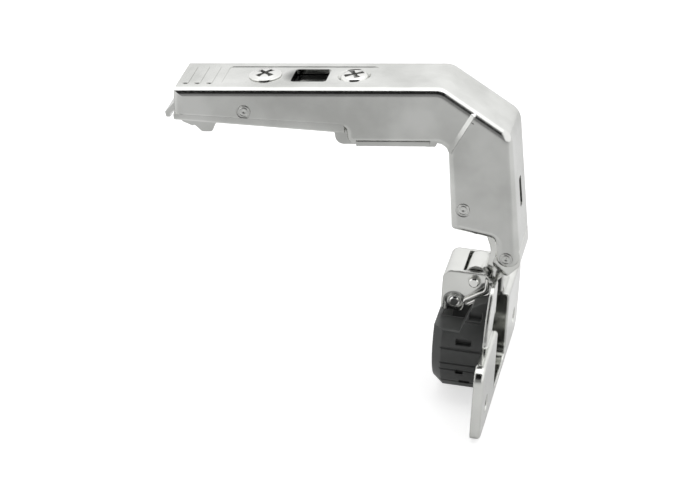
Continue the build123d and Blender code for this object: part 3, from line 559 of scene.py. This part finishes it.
for name in ("side", "cam"):
    look = screwLook[name]
    bm = bmesh.new()
    lathe(bm, look["profile"], onArm(look["along"], 0), outOfDeck)
    screw = meshObject(name + "Screw", bm, brightNickel, screwLook["smooth"])
    cutter = crossCutter(onArm(look["along"], look["top"]), look["turn"])
    cut = screw.modifiers.new("recess", "BOOLEAN")
    cut.operation, cut.object, cut.solver, cut.use_self = "DIFFERENCE", cutter, "EXACT", True
    shape = baked(screw, cut, name + "Screw")
    screw.data = shape
    bpy.data.objects.remove(cutter)
    shape.materials.clear()
    shape.materials.append(brightNickel)
    shape.materials.append(recessShadeNickel)
    # faces deep in the cross recess get the darker recess colour: painted shade
    for face in shape.polygons:
        reach = (face.center - onArm(look["along"], 0)) / mm
        below = look["top"] - reach.dot(outOfDeck)
        radius = math.hypot(reach.dot(alongDeck), reach.y)
        deep = screwLook["recessFrom"] < below < screwLook["recessTo"]
        face.material_index = 1 if deep and radius < screwLook["recessRadius"] else 0
    shape.set_sharp_from_angle(angle=math.radians(screwLook["smooth"]))
    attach(screw, look["body"])
    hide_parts(look["node"])
print("screws made")

# knurled strip beside the slot on the link box
knurlLook = {
    "count": 21, "start": (-0.0092, -0.00545, 0.02562), "pitch": 0.00026,
    "length": 0.0011, "width": 0.00012, "height": 0.00012}


def makeKnurlTree():
    tree, enter, leave = newTree("knurl", {
        "Geometry": "Geometry", "Count": "Int", "Start": "Vector", "Pitch": "Vector", "Bar Size": "Vector",
        "Metal": "Material"})
    link = tree.links.new
    row = addNode(tree, "GeometryNodeMeshLine", mode="OFFSET")
    cube = addNode(tree, "GeometryNodeMeshCube")
    spread = addNode(tree, "GeometryNodeInstanceOnPoints")
    link(enter.outputs["Count"], row.inputs["Count"])
    link(enter.outputs["Start"], row.inputs["Start Location"])
    link(enter.outputs["Pitch"], row.inputs["Offset"])
    link(enter.outputs["Bar Size"], cube.inputs["Size"])
    link(row.outputs["Mesh"], spread.inputs["Points"])
    link(cube.outputs["Mesh"], spread.inputs["Instance"])
    endTree(tree, enter, leave, spread.outputs["Instances"])
    return tree


knurlHost = bpy.data.objects.new("knurlHost", bpy.data.meshes.new("knurlHost"))
scene.collection.objects.link(knurlHost)
knurlModifier = knurlHost.modifiers.new("knurl", "NODES")
knurlModifier.node_group = makeKnurlTree()
setInputs(knurlModifier, {
    "Count": knurlLook["count"], "Start": knurlLook["start"], "Pitch": (knurlLook["pitch"], 0.0, 0.0),
    "Bar Size": (knurlLook["width"], knurlLook["length"], knurlLook["height"]), "Metal": cupNickel})
knurlShape = baked(knurlHost, knurlModifier, "knurledStrip")
bpy.data.objects.remove(knurlHost)
knurledStrip = bpy.data.objects.new("knurledStrip", knurlShape)
scene.collection.objects.link(knurledStrip)
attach(knurledStrip, "cup")
print("knurled strip made")

# camera at the photograph's viewpoint
cameraSetup = {
    "place": (0.0674, -0.6118, 0.3456), "right": (0.97963, 0.19503, 0.04774),
    "down": (0.13144, -0.44317, -0.88675), "view": (-0.15178, 0.87497, -0.45978),
    "lens": 147.84, "sensor": 36.0, "farthest": 20.0}
right, down, view = (Vector(cameraSetup[key]) for key in ("right", "down", "view"))
cameraData = bpy.data.cameras.new("photoCamera")
cameraData.lens = cameraSetup["lens"]
cameraData.sensor_width = cameraSetup["sensor"]
cameraData.clip_end = cameraSetup["farthest"]
camera = bpy.data.objects.new("photoCamera", cameraData)
scene.collection.objects.link(camera)
turned = Matrix((right, -down, -view)).transposed().to_4x4()
camera.matrix_world = Matrix.Translation(cameraSetup["place"]) @ turned
scene.camera = camera

# white floor that keeps the hinge's shadow
floorSetup = {
    "size": 6.0, "drop": 0.0002, "grey": 0.56, "glow": 0.66, "roughness": 0.9,
    "nearY": -0.12, "farY": -1.0, "farGrey": 0.12, "glowStart": -0.075, "glowEnd": -0.1, "glowInMetal": 0.25}


def makePaleFloor(look):
    mat, tree, shader = newMaterial("paleFloor")
    link = tree.links.new
    # the floor in front is darker, so that the cheeks don't mirror it too brightly
    parts = addNode(tree, "ShaderNodeSeparateXYZ")
    link(objectCoords(tree), parts.inputs[0])
    shade = addNode(tree, "ShaderNodeMapRange", {
        "From Min": look["farY"], "From Max": look["nearY"],
        "To Min": look["farGrey"], "To Max": look["grey"]})
    link(parts.outputs["Y"], shade.inputs["Value"])
    link(shade.outputs["Result"], shader.inputs["Base Color"])
    shader.inputs["Roughness"].default_value = look["roughness"]
    # the camera sees the glow in full, and the metal a part of it, near the hinge only
    lightPath = addNode(tree, "ShaderNodeLightPath")
    seenBy = addNode(tree, "ShaderNodeMath", operation="MAXIMUM")
    link(lightPath.outputs["Is Camera Ray"], seenBy.inputs[0])
    link(lightPath.outputs["Is Transmission Ray"], seenBy.inputs[1])
    glowReach = addNode(tree, "ShaderNodeMapRange", {
        "From Min": look["glowEnd"], "From Max": look["glowStart"], "To Max": look["glowInMetal"]})
    link(parts.outputs["Y"], glowReach.inputs["Value"])
    metalShare = addNode(tree, "ShaderNodeMath", operation="MULTIPLY")
    link(lightPath.outputs["Is Glossy Ray"], metalShare.inputs[0])
    link(glowReach.outputs["Result"], metalShare.inputs[1])
    glowShare = addNode(tree, "ShaderNodeMath", operation="MAXIMUM")
    link(seenBy.outputs[0], glowShare.inputs[0])
    link(metalShare.outputs[0], glowShare.inputs[1])
    # where the floor is darker, its glow makes up for it, so that it looks white throughout
    glowLevel = addNode(tree, "ShaderNodeMath", {0: look["glow"] + look["grey"]}, operation="SUBTRACT")
    link(shade.outputs["Result"], glowLevel.inputs[1])
    whiteGlow = addNode(tree, "ShaderNodeEmission", {"Color": (1, 1, 1, 1)})
    link(glowLevel.outputs[0], whiteGlow.inputs["Strength"])
    noGlow = addNode(tree, "ShaderNodeEmission", {"Color": (0, 0, 0, 1), "Strength": 0.0})
    glowOrNot = addNode(tree, "ShaderNodeMixShader")
    link(glowShare.outputs[0], glowOrNot.inputs[0])
    link(noGlow.outputs[0], glowOrNot.inputs[1])
    link(whiteGlow.outputs[0], glowOrNot.inputs[2])
    sumUp = addNode(tree, "ShaderNodeAddShader")
    link(shader.outputs[0], sumUp.inputs[0])
    link(glowOrNot.outputs[0], sumUp.inputs[1])
    link(sumUp.outputs[0], tree.nodes["Material Output"].inputs["Surface"])
    return mat


half = floorSetup["size"] / 2
floorZ = cadBox[0][2] - floorSetup["drop"]
floorCorners = [(-half, -half, floorZ), (half, -half, floorZ), (half, half, floorZ), (-half, half, floorZ)]
floorMesh = bpy.data.meshes.new("floor")
floorMesh.from_pydata(floorCorners, [], [(0, 1, 2, 3)])
floorMesh.materials.append(makePaleFloor(floorSetup))
floor = bpy.data.objects.new("floor", floorMesh)
scene.collection.objects.link(floor)

# studio surround: stops run from the far horizon over the top to the near one, pale first and then dark,
# so that bends show a sharp black line, and both sides glow
studioLook = {
    "stops": [(0.0, 0.95), (0.16, 1.1), (0.26, 1.2), (0.34, 1.8), (0.60, 1.8), (0.616, 0.012), (0.84, 0.012),
              (0.90, 0.2), (1.0, 0.28)],
    "strength": 2.0, "sideGlow": 1.15, "sideFrom": 0.5, "sideTo": 0.66}


def makeStudio(look):
    world = bpy.data.worlds.new("studio")
    world.use_nodes = True
    tree = world.node_tree
    link = tree.links.new
    coords = addNode(tree, "ShaderNodeTexCoord")
    parts = addNode(tree, "ShaderNodeSeparateXYZ")
    link(coords.outputs["Generated"], parts.inputs[0])
    upward = addNode(tree, "ShaderNodeMath", {1: 0.0}, operation="MAXIMUM")
    link(parts.outputs["Z"], upward.inputs[0])
    turn = addNode(tree, "ShaderNodeMath", operation="ARCTAN2")
    link(upward.outputs[0], turn.inputs[0])
    link(parts.outputs["Y"], turn.inputs[1])
    share = addNode(tree, "ShaderNodeMath", {1: math.pi}, operation="DIVIDE")
    link(turn.outputs[0], share.inputs[0])
    strength = look["strength"]
    stops = [(place, (value / strength,) * 3) for place, value in look["stops"]]
    band = ramp(tree, share.outputs[0], stops)
    sideways = addNode(tree, "ShaderNodeMath", operation="ABSOLUTE")
    link(parts.outputs["X"], sideways.inputs[0])
    sideShare = addNode(tree, "ShaderNodeMapRange", {
        "From Min": look["sideFrom"], "From Max": look["sideTo"]})
    link(sideways.outputs[0], sideShare.inputs["Value"])
    mix = addNode(tree, "ShaderNodeMix", data_type="RGBA")
    glow = look["sideGlow"] / strength
    link(sideShare.outputs["Result"], mix.inputs["Factor"])
    colourIn = [socket for socket in mix.inputs if socket.type == "RGBA"]
    link(band, colourIn[0])
    colourIn[1].default_value = (glow, glow, glow, 1)
    colourOut = [socket for socket in mix.outputs if socket.type == "RGBA"][0]
    surround = tree.nodes["Background"]
    link(colourOut, surround.inputs["Color"])
    surround.inputs["Strength"].default_value = strength
    return world


scene.world = makeStudio(studioLook)
print("light and camera set")
